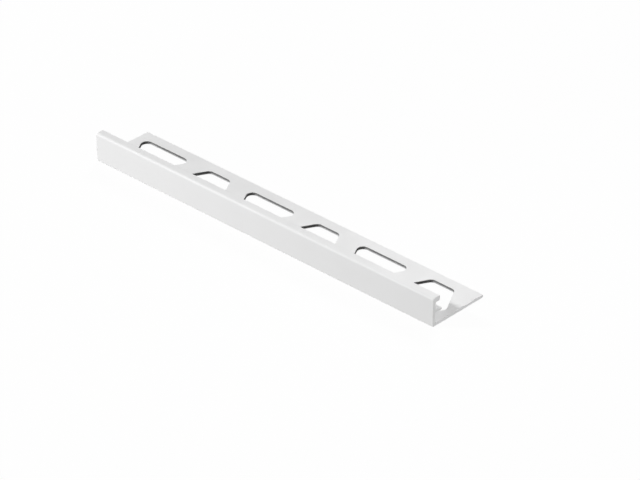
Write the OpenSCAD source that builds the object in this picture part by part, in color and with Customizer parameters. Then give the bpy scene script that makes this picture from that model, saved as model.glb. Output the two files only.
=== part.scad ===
// Tile edge trim: one length of extruded white PVC.
// A wall with a lip at its top finishes the edge of the tiles, a thin spacer behind the wall
// keeps the tile off the lip, and a flat leg with punched holes lies in the mortar under the tile.
// The trim lies on its leg, with its length along X, the wall in front and the leg behind it.

/* [Length] */
// Length of the cut piece
trim_length = 143.5; // [60:0.5:300]

/* [Wall] */
// Height of the trim, the same as the thickness of the tile with its mortar
wall_height = 10; // [8:0.5:15]
// Thickness of the wall
wall_thickness = 1.2; // [0.9:0.1:2]
// How far the lip reaches back, measured from the wall's face
lip_width = 3.1; // [2.5:0.1:5]
// Thickness of the lip
lip_thickness = 1.7; // [1:0.1:2.4]
// How far the joint spacer reaches back, measured from the wall's face
spacer_reach = 4; // [3:0.1:6]
// Thickness of the joint spacer
spacer_thickness = 0.9; // [0.4:0.1:1.2]
// Depth of the joint spacer's middle below the top of the wall
spacer_drop = 5; // [3.2:0.1:5.5]

/* [Leg] */
// Depth of the trim from the wall's face to the back edge of the leg
leg_depth = 22.8; // [18:0.1:32]
// Thickness of the leg
leg_thickness = 1; // [0.7:0.1:1.8]

/* [Edges] */
// Radius of the top edge of the wall's face
top_edge_radius = 0.8; // [0.2:0.1:1.5]
// Radius of the bottom edge of the wall's face
bottom_edge_radius = 0.3; // [0.1:0.1:0.8]
// Radius of the lip's two back edges
lip_edge_radius = 0.4; // [0.1:0.1:0.5]
// Radius of the leg's two back edges
leg_edge_radius = 0.3; // [0.1:0.05:0.3]
// Radius of the fillets behind the wall, under the lip and above the leg
fillet_radius = 0.4; // [0.1:0.1:0.6]

/* [Holes] */
// Strip of leg in front of the holes, measured from the wall's face
front_strip = 7; // [3:0.1:9]
// Strip of leg behind the holes
back_strip = 3.9; // [2:0.05:6]
// Long side of a hole, before its corners are rounded
hole_long_side = 21.8; // [18:0.1:28]
// Short side of a hole, before its corners are rounded
hole_short_side = 8.9; // [6:0.1:14]
// Radius of a hole's corners
hole_corner_radius = 2; // [0.5:0.1:2.2]
// Spacing of the holes along the leg, middle to middle
hole_spacing = 23.6; // [23:0.1:35]
// Place of the first hole's middle, measured from the left end
first_hole = 13.15; // [12:0.05:25]
// Least strip of leg between the last hole and the right end
least_end_strip = 1.5; // [0.5:0.1:10]

/* [Hidden] */
$fn = 64;
// How far a cut runs past the faces that it cuts
cut_past = 1;
// How far a hole's slanted sides end inside the corner arcs, so that no sliver is left where they meet
side_inset = 0.001;

hole_depth = leg_depth - front_strip - back_strip;
// Angle of a hole's slanted sides, measured from straight across the leg
flank_angle = atan2((hole_long_side - hole_short_side) / 2, hole_depth);
// Half lengths between the centres of the corner arcs on the long and on the short side
long_half = hole_long_side / 2 - hole_corner_radius * (1 + sin(flank_angle)) / cos(flank_angle);
short_half = hole_short_side / 2 - hole_corner_radius * (1 - sin(flank_angle)) / cos(flank_angle);
// The holes are punched along the leg for as long as a whole one fits
hole_run = trim_length - first_hole - long_half - hole_corner_radius - least_end_strip;
hole_count = 1 + floor(hole_run / hole_spacing);

// Square corner at the origin, filled up to the arc that touches both its edges.
// Taken away from an outer corner it rounds it, and added to an inner corner it fillets it.
module corner(radius) {
    difference() {
        square(2 * radius, center = true);
        translate([radius, radius]) circle(radius);
    }
}

// Fin with a round tip that sets the width of the joint between the lip and the tile
module spacer_section() {
    spacer_z = wall_height - spacer_drop;
    tip_radius = spacer_thickness / 2;
    translate([0, spacer_z - tip_radius]) square([spacer_reach - tip_radius, spacer_thickness]);
    translate([spacer_reach - tip_radius, spacer_z]) circle(tip_radius);
}

// Section of the extrusion: its X runs back from the wall's face and its Y runs up
module trim_section() {
    lip_z = wall_height - lip_thickness;
    difference() {
        union() {
            square([wall_thickness, wall_height]);
            square([leg_depth, leg_thickness]);
            translate([0, lip_z]) square([lip_width, lip_thickness]);
            spacer_section();
            translate([wall_thickness, leg_thickness]) corner(fillet_radius);
            translate([wall_thickness, lip_z]) mirror([0, 1]) corner(fillet_radius);
        }
        corner(bottom_edge_radius);
        translate([0, wall_height]) mirror([0, 1]) corner(top_edge_radius);
        translate([lip_width, lip_z]) mirror([1, 0]) corner(lip_edge_radius);
        translate([lip_width, wall_height]) rotate(180) corner(lip_edge_radius);
        translate([leg_depth, 0]) mirror([1, 0]) corner(leg_edge_radius);
        translate([leg_depth, leg_thickness]) rotate(180) corner(leg_edge_radius);
    }
}

// Trapezoid with round corners about the origin, its long side towards the wall
module hole_outline() {
    arc_y = hole_depth / 2 - hole_corner_radius;
    touch_x = (hole_corner_radius - side_inset) * cos(flank_angle);
    touch_y = (hole_corner_radius - side_inset) * sin(flank_angle);
    polygon([
        [-long_half, -hole_depth / 2],
        [long_half, -hole_depth / 2],
        [long_half + touch_x, touch_y - arc_y],
        [short_half + touch_x, touch_y + arc_y],
        [short_half, hole_depth / 2],
        [-short_half, hole_depth / 2],
        [-short_half - touch_x, touch_y + arc_y],
        [-long_half - touch_x, touch_y - arc_y]
    ]);
    for (side = [-1, 1]) {
        translate([side * long_half, -arc_y]) circle(hole_corner_radius);
        translate([side * short_half, arc_y]) circle(hole_corner_radius);
    }
}

// Row of holes through the leg: the first has its long side at the back, and each next one is turned about
module hole_row() {
    for (index = [0 : hole_count - 1]) {
        translate([first_hole + index * hole_spacing, front_strip + hole_depth / 2, -cut_past])
            linear_extrude(leg_thickness + 2 * cut_past)
                rotate(180 * (index + 1))
                    hole_outline();
    }
}

module edge_trim() {
    color("whitesmoke")
        translate([-trim_length / 2, -leg_depth / 2, 0])
            difference() {
                rotate([90, 0, 90]) linear_extrude(trim_length) trim_section();
                hole_row();
            }
}

edge_trim();
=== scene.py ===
# %% [markdown]
# # Tile edge trim in white PVC
# A tile edge trim is one length of extruded profile. Its wall covers the raw edge of the last row of
# tiles, a lip at the top of the wall lies beside the tile's face, and a punched leg is bedded in the
# mortar under the tiles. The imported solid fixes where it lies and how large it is, so it is loaded
# first. Its box gives the length, the depth and the height that everything below starts from.

# %% Load the frame
import math

import bmesh
import bpy
from mathutils import Matrix, Vector


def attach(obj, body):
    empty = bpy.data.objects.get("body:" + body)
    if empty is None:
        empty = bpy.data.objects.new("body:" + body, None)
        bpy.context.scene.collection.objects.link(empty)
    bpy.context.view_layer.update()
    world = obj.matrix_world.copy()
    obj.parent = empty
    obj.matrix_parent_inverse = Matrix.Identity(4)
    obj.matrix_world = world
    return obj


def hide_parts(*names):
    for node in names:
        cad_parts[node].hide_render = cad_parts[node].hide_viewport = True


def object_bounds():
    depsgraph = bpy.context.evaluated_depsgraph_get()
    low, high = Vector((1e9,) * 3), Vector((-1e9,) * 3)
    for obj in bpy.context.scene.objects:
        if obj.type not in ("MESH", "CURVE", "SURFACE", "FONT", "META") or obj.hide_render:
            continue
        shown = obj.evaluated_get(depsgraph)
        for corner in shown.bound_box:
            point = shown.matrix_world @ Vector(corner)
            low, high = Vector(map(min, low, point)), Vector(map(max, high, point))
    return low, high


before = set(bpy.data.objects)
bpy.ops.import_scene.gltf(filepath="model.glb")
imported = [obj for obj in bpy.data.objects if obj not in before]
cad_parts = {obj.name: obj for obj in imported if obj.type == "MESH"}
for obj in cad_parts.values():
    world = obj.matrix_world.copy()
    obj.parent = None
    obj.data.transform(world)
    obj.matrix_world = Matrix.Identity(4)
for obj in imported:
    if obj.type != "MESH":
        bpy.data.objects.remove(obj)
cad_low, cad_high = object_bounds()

MM = 0.001
low = cad_low / MM
high = cad_high / MM
length, depth, height = high - low
print(f"The trim is {length:.1f} mm long, {depth:.1f} mm deep and {height:.1f} mm high")

# %% [markdown]
# ## The section
# An extruded profile has the same section all along, so one closed outline says nearly everything
# about it. The solid has this outline too, but its arcs come as a few flat strips, which show as
# bands where a gloss runs along an edge. So the outline is drawn again with finer arcs. It is a list
# of corners, each with the radius that the die gives it. A radius of 0 stays sharp. The mesh is drawn
# in millimetres and made small at the end, because some operators blur distances as short as these
# arcs have in metres.

# %% Corners of the section
WALL_THICKNESS = 1.2
LIP_WIDTH = 3.1
LIP_THICKNESS = 1.7
SPACER_REACH = 4.0
SPACER_THICKNESS = 0.9
SPACER_DROP = 5.0
LEG_THICKNESS = 1.0
TOP_EDGE_RADIUS = 0.8
BOTTOM_EDGE_RADIUS = 0.3
LIP_EDGE_RADIUS = 0.4
LEG_EDGE_RADIUS = 0.3
FILLET_RADIUS = 0.4

lip_low = height - LIP_THICKNESS
spacer_low = height - SPACER_DROP - SPACER_THICKNESS / 2
spacer_high = spacer_low + SPACER_THICKNESS
# Each corner is its distance behind the wall's face, its height and its radius
section_corners = [
    (0, 0, BOTTOM_EDGE_RADIUS),
    (depth, 0, LEG_EDGE_RADIUS),
    (depth, LEG_THICKNESS, LEG_EDGE_RADIUS),
    (WALL_THICKNESS, LEG_THICKNESS, FILLET_RADIUS),
    (WALL_THICKNESS, spacer_low, 0),
    (SPACER_REACH, spacer_low, SPACER_THICKNESS / 2),
    (SPACER_REACH, spacer_high, SPACER_THICKNESS / 2),
    (WALL_THICKNESS, spacer_high, 0),
    (WALL_THICKNESS, lip_low, FILLET_RADIUS),
    (LIP_WIDTH, lip_low, LIP_EDGE_RADIUS),
    (LIP_WIDTH, height, LIP_EDGE_RADIUS),
    (0, height, TOP_EDGE_RADIUS),
]
print(f"The section has {len(section_corners)} corners")

# %% [markdown]
# A corner could be rounded with the bevel operator, but its curve is a true arc only at a right
# angle, and the holes have slanted sides. So each corner is one vertex that the spin operator turns
# about the centre of its arc, and straight edges then join the arcs. The same function draws the
# section and the holes. With `grow` it draws a hole's outline a little larger about the same centres.

# %% Outline with round corners
ARC_STEP = math.radians(7.5)
UP = Vector((0, 0, 1))


def rounded_outline(mesh, corners, grow=0.0):
    """Adds a closed outline in the XY plane, walked anticlockwise, and returns its edges."""
    known = set(mesh.verts)
    points = [Vector((x, y, 0)) for x, y, radius in corners]
    arc_ends = []
    for index, (x, y, radius) in enumerate(corners):
        back = (points[index - 1] - points[index]).normalized()
        ahead = (points[(index + 1) % len(points)] - points[index]).normalized()
        half_angle = back.angle(ahead) / 2
        centre = points[index] + (back + ahead).normalized() * radius / math.sin(half_angle)
        touch = points[index] + back * radius / math.tan(half_angle)
        turn = math.copysign(math.pi - 2 * half_angle, ahead.cross(back).dot(UP))
        first = last = mesh.verts.new(touch + (touch - centre).normalized() * grow)
        if radius:
            spun = bmesh.ops.spin(
                mesh, geom=[first], cent=centre, axis=UP, dvec=(0, 0, 0), angle=turn,
                steps=round(abs(turn) / ARC_STEP), use_merge=False, use_duplicate=False)
            last = [part for part in spun["geom_last"] if isinstance(part, bmesh.types.BMVert)][0]
        arc_ends.append((first, last))
    for index, (first, last) in enumerate(arc_ends):
        mesh.edges.new((arc_ends[index - 1][1], first))
    return [edge for edge in mesh.edges if edge.verts[0] not in known]


# %% [markdown]
# ## The extrusion
# The real trim is pressed through a die and sawn to length. Here the outline becomes one face, is
# stood up at the left end, and is extruded along X. The saw leaves a sharp edge that is rubbed down
# by hand, so the outline of both ends gets a very small bevel. That is done now, while every long
# face is still one clean strip.

# %% Extrude the section
WELD = 0.001
SAWN_EDGE = 0.08
SAWN_EDGE_STEPS = 2
# Bevel profile that is an arc
ROUND = 0.5
# Least X in the normal of a face that lies square across the trim
ACROSS = 0.99

body = bmesh.new()
rounded_outline(body, section_corners)
bmesh.ops.remove_doubles(body, verts=body.verts, dist=WELD)
bmesh.ops.contextual_create(body, geom=body.edges)
# The section's own X runs back along the part's Y, and its Y runs up along the part's Z
stand_up = Matrix.Translation(low) @ Matrix(((0, 0, 1, 0), (1, 0, 0, 0), (0, 1, 0, 0), (0, 0, 0, 1)))
bmesh.ops.transform(body, matrix=stand_up, verts=body.verts)
pressed = bmesh.ops.extrude_face_region(body, geom=body.faces[:])
far_end = [part for part in pressed["geom"] if isinstance(part, bmesh.types.BMVert)]
bmesh.ops.translate(body, verts=far_end, vec=(length, 0, 0))
bmesh.ops.recalc_face_normals(body, faces=body.faces)

end_faces = [face for face in body.faces if abs(face.normal.x) > ACROSS]
end_edges = {edge for face in end_faces for edge in face.edges}
bmesh.ops.bevel(
    body, geom=list(end_edges), offset=SAWN_EDGE, offset_type="OFFSET", affect="EDGES",
    segments=SAWN_EDGE_STEPS, profile=ROUND, clamp_overlap=False, material=-1)
print(f"The extrusion has {len(body.faces)} faces")

# %% [markdown]
# ## The punched holes
# The holes let mortar through, so that it grips the leg. They are trapezoids with round corners, and
# each next one is turned about, so that the bars between them keep one width. A boolean could cut
# them, but it leaves long slivers round every arc. Instead the leg's two large faces are taken away,
# each hole gets its own wall, and the faces are filled again around the walls.

# %% Places and corners of the holes
FRONT_STRIP = 7.0
BACK_STRIP = 3.9
HOLE_LONG_SIDE = 21.8
HOLE_SHORT_SIDE = 8.9
HOLE_CORNER_RADIUS = 2.0
HOLE_SPACING = 23.6
FIRST_HOLE = 13.15
HOLE_COUNT = 6


def hole_corners(index):
    """Corners of a hole, anticlockwise from above. The first hole has its long side at the back."""
    middle = low.x + FIRST_HOLE + index * HOLE_SPACING
    front = low.y + FRONT_STRIP
    back = high.y - BACK_STRIP
    front_half, back_half = HOLE_SHORT_SIDE / 2, HOLE_LONG_SIDE / 2
    if index % 2:
        front_half, back_half = back_half, front_half
    return [
        (middle - front_half, front, HOLE_CORNER_RADIUS),
        (middle + front_half, front, HOLE_CORNER_RADIUS),
        (middle + back_half, back, HOLE_CORNER_RADIUS),
        (middle - back_half, back, HOLE_CORNER_RADIUS),
    ]


# %% [markdown]
# The punch drags the skin down a little where it enters, so the upper rim of a hole is round, and the
# lower rim, where the slug breaks out, stays sharp. Each hole starts as a face that is a little too
# large. An inset leaves a narrow collar round it, an extrusion draws the inner face down through the
# leg and makes the wall, and a bevel then rounds the rim between the collar and the wall.

# %% Punch the holes
COLLAR = 0.6
PUNCHED_RIM = 0.25
PUNCHED_RIM_STEPS = 4
SKIN, SAWN, PUNCHED = range(3)

for face in body.faces:
    face.material_index = SAWN if abs(face.normal.x) > ACROSS else SKIN
leg_faces = [face for face in body.faces if face.calc_area() > length * depth / 2]
bmesh.ops.delete(body, geom=leg_faces, context="FACES_ONLY")

rims = []
leg_top = low.z + LEG_THICKNESS
for index in range(HOLE_COUNT):
    collar = rounded_outline(body, hole_corners(index), COLLAR)
    collar_verts = {vert for edge in collar for vert in edge.verts}
    bmesh.ops.translate(body, verts=list(collar_verts), vec=(0, 0, leg_top))
    slug = bmesh.ops.contextual_create(body, geom=collar)["faces"]
    bmesh.ops.inset_individual(body, faces=slug, thickness=COLLAR, use_even_offset=True)
    rims += slug[0].edges
    drawn = bmesh.ops.extrude_face_region(body, geom=slug)["geom"]
    slug += [part for part in drawn if isinstance(part, bmesh.types.BMFace)]
    bmesh.ops.translate(body, verts=slug[-1].verts, vec=(0, 0, -LEG_THICKNESS))
    for edge in slug[-1].edges:
        for face in edge.link_faces:
            face.material_index = PUNCHED
    bmesh.ops.delete(body, geom=slug, context="FACES_ONLY")

bmesh.ops.bevel(
    body, geom=rims, offset=PUNCHED_RIM, offset_type="OFFSET", affect="EDGES",
    segments=PUNCHED_RIM_STEPS, profile=ROUND, clamp_overlap=False, material=-1)
print(f"{HOLE_COUNT} holes are punched, {HOLE_SPACING:.1f} mm apart")

# %% [markdown]
# What is left open is flat: the leg's outline with six collars in it, above and below. Triangle fill
# closes such a plane around its holes. The mesh is then closed, which is tested, and its volume can
# be set beside the solid's.

# %% Fill the leg and make the piece
for level in (leg_top, low.z):
    open_edges = [
        edge for edge in body.edges
        if edge.is_boundary and all(abs(vert.co.z - level) < WELD for vert in edge.verts)]
    bmesh.ops.triangle_fill(body, use_beauty=True, use_dissolve=False, edges=open_edges, normal=UP)
bmesh.ops.recalc_face_normals(body, faces=body.faces)
loose_edges = [edge for edge in body.edges if not edge.is_manifold]
print(f"Open edges: {len(loose_edges)}, volume {body.calc_volume():.0f} mm3")

for face in body.faces:
    face.smooth = True
bmesh.ops.scale(body, vec=(MM, MM, MM), verts=body.verts)
trim_mesh = bpy.data.meshes.new("trim_body")
body.to_mesh(trim_mesh)
body.free()
trim = bpy.data.objects.new("trim_body", trim_mesh)
bpy.context.collection.objects.link(trim)

# %% [markdown]
# Smooth shading on a mesh with wide flat faces and narrow round edges draws false shadows on the flat
# faces, because every corner's normal is a mean of the faces around it. Edges sharper than 35 degrees
# are therefore marked sharp, and the Weighted Normal modifier gives the widest face the most say.

# %% Shade flat faces flat and round edges round
SHARP_ANGLE = math.radians(35)
WIDE_FACE_WEIGHT = 100

trim_mesh.set_sharp_from_angle(angle=SHARP_ANGLE)
weighted = trim.modifiers.new("wide_faces_stay_flat", "WEIGHTED_NORMAL")
weighted.keep_sharp = True
weighted.weight = WIDE_FACE_WEIGHT
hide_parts("edge_trim")
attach(trim, "root")
print(f"{trim.name} has {len(trim_mesh.polygons)} faces")

# %% [markdown]
# ## Materials
# All of the trim is one plastic, hard PVC made opaque with titanium white, but its surfaces were made
# in three ways: pressed, sawn and punched. Each way leaves its own look, so each has its own material,
# a few nodes on a Principled shader. The punched walls also carry painted shade. One function adds a
# node, sets its properties and fills its inputs with numbers or with other nodes.

# %% Helpers for materials
def linear(hex_colour):
    """Linear colour with alpha from an sRGB hex value."""
    channels = [int(hex_colour[start:start + 2], 16) / 255 for start in (1, 3, 5)]
    return [c / 12.92 if c <= 0.04045 else ((c + 0.055) / 1.055) ** 2.4 for c in channels] + [1.0]


def add_node(tree, kind, inputs, **settings):
    """Adds a node. An input is a number, a colour, or a socket of another node to link."""
    node = tree.nodes.new(kind)
    for name, value in settings.items():
        setattr(node, name, value)
    for name, value in inputs.items():
        if isinstance(value, bpy.types.NodeSocket):
            tree.links.new(value, node.inputs[name])
        else:
            node.inputs[name].default_value = value
    return node


def new_material(name):
    """Adds an empty material and returns it with its node tree and its output."""
    material = bpy.data.materials.new(name)
    material.use_nodes = True
    tree = material.node_tree
    tree.nodes.clear()
    output = add_node(tree, "ShaderNodeOutputMaterial", {})
    return material, tree, output


# %% [markdown]
# ### Extruded skin
# PVC leaves the die with a satin skin. Tiny scratches in the die draw fine lines along the whole
# length, and the skin is a little duller in some places than in others. Both come from noise on
# object coordinates. Stretched along X, it gives the die lines; unstretched, the patches. A mapping of
# the texture kind does the stretching, because it takes the size of the pattern on each axis. Real die
# lines are a tenth of a millimetre wide and much shallower. At this distance they would not show, so
# they are drawn wider and deeper.

# %% Extruded white PVC
PVC_IOR = 1.54
WHITE = "#F2F2F2"
WHITE_SHADE = "#EEEEEE"
DIE_LINE = 0.9 * MM
DIE_LINE_RUN = 120 * MM
DIE_LINE_DEPTH = 0.01 * MM
SATIN_PATCH = 14 * MM
SATIN_LEAST = 0.54
SATIN_MOST = 0.66
# Nearly all values of the patches' noise lie between these
NOISE_LOW = 0.3
NOISE_HIGH = 0.7

skin, tree, output = new_material("extruded_white_pvc")
place = add_node(tree, "ShaderNodeTexCoord", {}).outputs["Object"]
along_die = add_node(tree, "ShaderNodeMapping", {
    "Vector": place, "Scale": (DIE_LINE_RUN, DIE_LINE, DIE_LINE)}, vector_type="TEXTURE")
die_lines = add_node(tree, "ShaderNodeTexNoise", {
    "Vector": along_die.outputs["Vector"], "Scale": 1.0, "Detail": 3.0, "Roughness": 0.6})
patches = add_node(tree, "ShaderNodeTexNoise", {
    "Vector": place, "Scale": 1 / SATIN_PATCH, "Detail": 3.0, "Roughness": 0.55})
shade = add_node(tree, "ShaderNodeMix", {
    "Factor": patches.outputs["Fac"], "A": linear(WHITE), "B": linear(WHITE_SHADE)}, data_type="RGBA")
dullness = add_node(tree, "ShaderNodeMapRange", {
    "Value": patches.outputs["Fac"], "From Min": NOISE_LOW, "From Max": NOISE_HIGH,
    "To Min": SATIN_LEAST, "To Max": SATIN_MOST})
relief = add_node(tree, "ShaderNodeBump", {
    "Height": die_lines.outputs["Fac"], "Strength": 1.0, "Distance": DIE_LINE_DEPTH})
surface = add_node(tree, "ShaderNodeBsdfPrincipled", {
    "Base Color": shade.outputs["Result"], "Roughness": dullness.outputs["Result"],
    "Normal": relief.outputs["Normal"], "IOR": PVC_IOR})
tree.links.new(surface.outputs["BSDF"], output.inputs["Surface"])
print(f"{skin.name} has {len(tree.nodes)} nodes")

# %% [markdown]
# ### Sawn ends
# A fine saw leaves a matt face with close marks across it, all in the direction of the cut. The same
# noise is turned a little and stretched along the marks. The texture kind of mapping turns first and
# stretches then. The point kind stretches first, and the marks would stay upright. Real saw marks are
# about a tenth of a millimetre wide. They are drawn a few times as wide, so that they show.

# %% Sawn PVC
SAWN_WHITE = "#F2F2F2"
SAWN_SHADE = "#E0E0E0"
SAWN_DULLNESS = 0.62
SAW_MARK = 0.35 * MM
SAW_MARK_RUN = 12 * MM
SAW_MARK_DEPTH = 0.035 * MM
SAW_TILT = math.radians(12)

sawn, tree, output = new_material("sawn_white_pvc")
place = add_node(tree, "ShaderNodeTexCoord", {}).outputs["Object"]
along_saw = add_node(tree, "ShaderNodeMapping", {
    "Vector": place, "Rotation": (SAW_TILT, 0, 0), "Scale": (SAW_MARK_RUN, SAW_MARK, SAW_MARK_RUN)},
    vector_type="TEXTURE")
saw_marks = add_node(tree, "ShaderNodeTexNoise", {
    "Vector": along_saw.outputs["Vector"], "Scale": 1.0, "Detail": 2.0, "Roughness": 0.5})
shade = add_node(tree, "ShaderNodeMix", {
    "Factor": saw_marks.outputs["Fac"], "A": linear(SAWN_SHADE), "B": linear(SAWN_WHITE)}, data_type="RGBA")
relief = add_node(tree, "ShaderNodeBump", {
    "Height": saw_marks.outputs["Fac"], "Strength": 1.0, "Distance": SAW_MARK_DEPTH})
surface = add_node(tree, "ShaderNodeBsdfPrincipled", {
    "Base Color": shade.outputs["Result"], "Roughness": SAWN_DULLNESS,
    "Normal": relief.outputs["Normal"], "IOR": PVC_IOR})
tree.links.new(surface.outputs["BSDF"], output.inputs["Surface"])
print(f"{sawn.name} has {len(tree.nodes)} nodes")

# %% [markdown]
# ### Punched walls
# A steel punch shears the upper part of a hole's wall smooth. Lower down the slug tears out, which
# leaves the wall white and rough. The upper part is painted grey: painted shade, which darkens the
# walls of the holes where they lie in shade. So the colour changes with the height, and a noise
# squeezed across the wall makes that border uneven and draws marks straight down. These marks, too,
# are drawn wider than real ones, so that they show.

# %% Punched PVC
# Painted shade: the upper band of each hole's wall is grey because the wall lies in shade
PAINTED_SHADE_GREY = "#929292"
TORN_WHITE = "#E8E8E8"
TEAR_LOW = 0.3 * MM
TEAR_HIGH = 0.5 * MM
TEAR_UNEVEN = 0.3 * MM
PUNCHED_DULLNESS = 0.8
PUNCHED_GLOSS = 0.1
PUNCH_MARK = 0.45 * MM
PUNCH_MARK_RUN = 5 * MM
PUNCH_MARK_DEPTH = 0.03 * MM

punched, tree, output = new_material("punched_white_pvc")
place = add_node(tree, "ShaderNodeTexCoord", {}).outputs["Object"]
along_punch = add_node(tree, "ShaderNodeMapping", {
    "Vector": place, "Scale": (PUNCH_MARK, PUNCH_MARK, PUNCH_MARK_RUN)}, vector_type="TEXTURE")
punch_marks = add_node(tree, "ShaderNodeTexNoise", {
    "Vector": along_punch.outputs["Vector"], "Scale": 1.0, "Detail": 2.0, "Roughness": 0.5})
above_floor = add_node(tree, "ShaderNodeSeparateXYZ", {"Vector": place})
uneven = add_node(tree, "ShaderNodeMath", {
    0: punch_marks.outputs["Fac"], 1: TEAR_UNEVEN, 2: above_floor.outputs["Z"]}, operation="MULTIPLY_ADD")
# Painted shade band: 0 low on the wall, where it stays white, and 1 higher up, where it is painted grey
painted_shade_band = add_node(tree, "ShaderNodeMapRange", {
    "Value": uneven.outputs["Value"],
    "From Min": TEAR_LOW + TEAR_UNEVEN / 2, "From Max": TEAR_HIGH + TEAR_UNEVEN / 2})
shade = add_node(tree, "ShaderNodeMix", {
    "Factor": painted_shade_band.outputs["Result"],
    "A": linear(TORN_WHITE), "B": linear(PAINTED_SHADE_GREY)}, data_type="RGBA")
relief = add_node(tree, "ShaderNodeBump", {
    "Height": punch_marks.outputs["Fac"], "Strength": 1.0, "Distance": PUNCH_MARK_DEPTH})
surface = add_node(tree, "ShaderNodeBsdfPrincipled", {
    "Base Color": shade.outputs["Result"], "Roughness": PUNCHED_DULLNESS,
    "Normal": relief.outputs["Normal"], "IOR": PVC_IOR, "Specular IOR Level": PUNCHED_GLOSS})
tree.links.new(surface.outputs["BSDF"], output.inputs["Surface"])
print(f"{punched.name} has {len(tree.nodes)} nodes")

for material in (skin, sawn, punched):
    trim_mesh.materials.append(material)
print("Materials:", ", ".join(material.name for material in trim_mesh.materials))

# %% [markdown]
# ## Floor and background
# The trim lies on a plain white floor that runs into a white background. A floor that is only lit
# never comes out fully white, so most of what the camera sees of it is its own even white, and the
# rest is lit, which keeps the trim's soft shadow. A white floor would also throw so much light up
# that the walls of the holes and the undersides lost their shade, so the floor is grey to light that
# bounces. The Light Path node tells the two apart.

# %% Floor
FLOOR_SIZE = 6.0
FLOOR_GLOW = 0.965
FLOOR_SEEN = "#FFFFFF"
FLOOR_BOUNCE = "#383838"


def seen_ray(tree):
    """Socket that is 1 for a ray from the camera, a gloss or a glass, and 0 for bounced light."""
    ray = add_node(tree, "ShaderNodeLightPath", {})
    seen = ray.outputs["Is Camera Ray"]
    for kind in ("Is Glossy Ray", "Is Transmission Ray"):
        either = add_node(tree, "ShaderNodeMath", {0: seen, 1: ray.outputs[kind]}, operation="MAXIMUM")
        seen = either.outputs["Value"]
    return seen


floor_shape = bmesh.new()
bmesh.ops.create_grid(floor_shape, x_segments=1, y_segments=1, size=FLOOR_SIZE / 2)
bmesh.ops.translate(floor_shape, verts=floor_shape.verts, vec=(0, 0, cad_low.z))
floor_mesh = bpy.data.meshes.new("floor")
floor_shape.to_mesh(floor_mesh)
floor_shape.free()
floor = bpy.data.objects.new("floor", floor_mesh)
bpy.context.collection.objects.link(floor)

paper, tree, output = new_material("white_backdrop_paper")
seen = seen_ray(tree)
paper_colour = add_node(tree, "ShaderNodeMix", {
    "Factor": seen, "A": linear(FLOOR_BOUNCE), "B": linear(FLOOR_SEEN)}, data_type="RGBA")
lit = add_node(tree, "ShaderNodeBsdfDiffuse", {"Color": paper_colour.outputs["Result"]})
glow = add_node(tree, "ShaderNodeEmission", {"Color": linear(FLOOR_SEEN), "Strength": 1.0})
glow_share = add_node(tree, "ShaderNodeMath", {0: seen, 1: FLOOR_GLOW}, operation="MULTIPLY")
both = add_node(tree, "ShaderNodeMixShader", {
    0: glow_share.outputs["Value"], 1: lit.outputs["BSDF"], 2: glow.outputs["Emission"]})
tree.links.new(both.outputs["Shader"], output.inputs["Surface"])
floor_mesh.materials.append(paper)
print(f"The floor is {FLOOR_SIZE:.0f} m wide and lies at {cad_low.z:.3f} m")

# %% [markdown]
# Beyond the floor the world is white to the camera too. A white world would also light the trim evenly
# from all sides and fill every shadow, so as a light it is faint, and the lamps do the rest.

# %% World
WORLD_WHITE = "#FFFFFF"
AMBIENT = 0.05

world = bpy.data.worlds.new("white_studio")
bpy.context.scene.world = world
world.use_nodes = True
tree = world.node_tree
tree.nodes.clear()
strength = add_node(tree, "ShaderNodeMapRange", {"Value": seen_ray(tree), "To Min": AMBIENT, "To Max": 1.0})
sky = add_node(tree, "ShaderNodeBackground", {
    "Color": linear(WORLD_WHITE), "Strength": strength.outputs["Result"]})
add_node(tree, "ShaderNodeOutputWorld", {"Surface": sky.outputs["Background"]})
print(f"{world.name} lights the trim at {AMBIENT} and shows at 1.0")

# %% [markdown]
# ## Light
# White plastic on white shows its form only where light falls on each side differently. The key lamp
# stands in front on the left, about 30 degrees up. It throws the wall's shadow on the leg, lights the
# back walls of the holes and leaves their left walls dark. A low, wide lamp in front fills the wall's
# face without reaching over the wall, and a lamp behind on the left lights the tops and the back. A
# near lamp with a narrow beam brightens the tops towards the right end, and a low strip lights the
# sawn end. A lamp's level is what a white sheet that faces it would show if the lamp were very small.
# Its power follows from that and its distance, and it is less where a narrow spread gathers the light.

# %% Lamps
def aim(thing, place, target):
    """Puts a lamp or the camera at a place, looking at the target."""
    thing.location = place
    thing.rotation_euler = (Vector(target) - Vector(place)).to_track_quat("-Z", "Y").to_euler()


def direction(azimuth, elevation):
    """Unit vector away from the trim. Azimuth 0 is in front of the wall and 90 is to the right."""
    around, above = math.radians(azimuth), math.radians(elevation)
    flat = math.cos(above)
    return Vector((math.sin(around) * flat, -math.cos(around) * flat, math.sin(above)))


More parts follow.
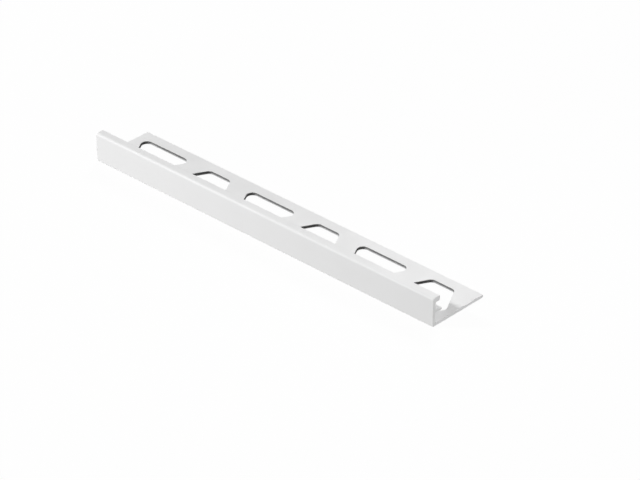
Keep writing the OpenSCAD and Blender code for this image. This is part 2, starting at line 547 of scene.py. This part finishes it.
def add_lamp(name, azimuth, elevation, distance, size, level, target=(0, 0, 0), spread=180):
    """Adds an area lamp, as wide and as high as size says, that looks at the target."""
    light = bpy.data.lights.new(name, "AREA")
    light.shape = "RECTANGLE"
    light.size, light.size_y = size
    light.spread = math.radians(spread)
    half_spread = math.radians(spread) / 2
    gathered = math.tan(half_spread) / (math.tan(half_spread) - half_spread)
    light.energy = level * (math.pi * distance) ** 2 / gathered
    lamp = bpy.data.objects.new(name, light)
    lamp.visible_camera = False
    bpy.context.collection.objects.link(lamp)
    aim(lamp, Vector(target) + direction(azimuth, elevation) * distance, target)
    print(f"{name}: {light.energy:.4f} W")


right_end = (cad_high.x, 0, 0)
add_lamp("key_lamp", azimuth=-47, elevation=32, distance=2.5, size=(0.2, 0.2), level=0.7)
add_lamp("front_lamp", azimuth=-25, elevation=4, distance=0.5, size=(0.3, 0.06), level=0.44)
add_lamp("back_lamp", azimuth=-150, elevation=40, distance=2.5, size=(0.6, 0.6), level=0.46)
add_lamp(
    "near_lamp", azimuth=178, elevation=46, distance=0.2, size=(0.12, 0.12), level=0.42,
    target=right_end, spread=45)
add_lamp("end_lamp", azimuth=90, elevation=0.6, distance=0.6, size=(0.3, 0.012), level=0.47)

# %% [markdown]
# ## Camera
# The photograph is a long-lens view from the front right, a little over 30 degrees up. The lens and
# the place were worked out from the straight edges of the trim.

# %% Camera
LENS = 198.8
SENSOR = 36
NEAREST = 10 * MM
CAMERA_AZIMUTH = 43.13
CAMERA_ELEVATION = 31.64
CAMERA_DISTANCE = 1090.4 * MM
CAMERA_AIM = Vector((13.55 * MM, 1.86 * MM, 0))

lens = bpy.data.cameras.new("camera")
lens.lens = LENS
lens.sensor_width = SENSOR
lens.clip_start = NEAREST
camera = bpy.data.objects.new("camera", lens)
bpy.context.collection.objects.link(camera)
aim(camera, CAMERA_AIM + direction(CAMERA_AZIMUTH, CAMERA_ELEVATION) * CAMERA_DISTANCE, CAMERA_AIM)
bpy.context.scene.camera = camera
bpy.context.scene.view_settings.view_transform = "Standard"
print(f"The camera stands {CAMERA_DISTANCE:.2f} m away, with a lens of {LENS} mm")
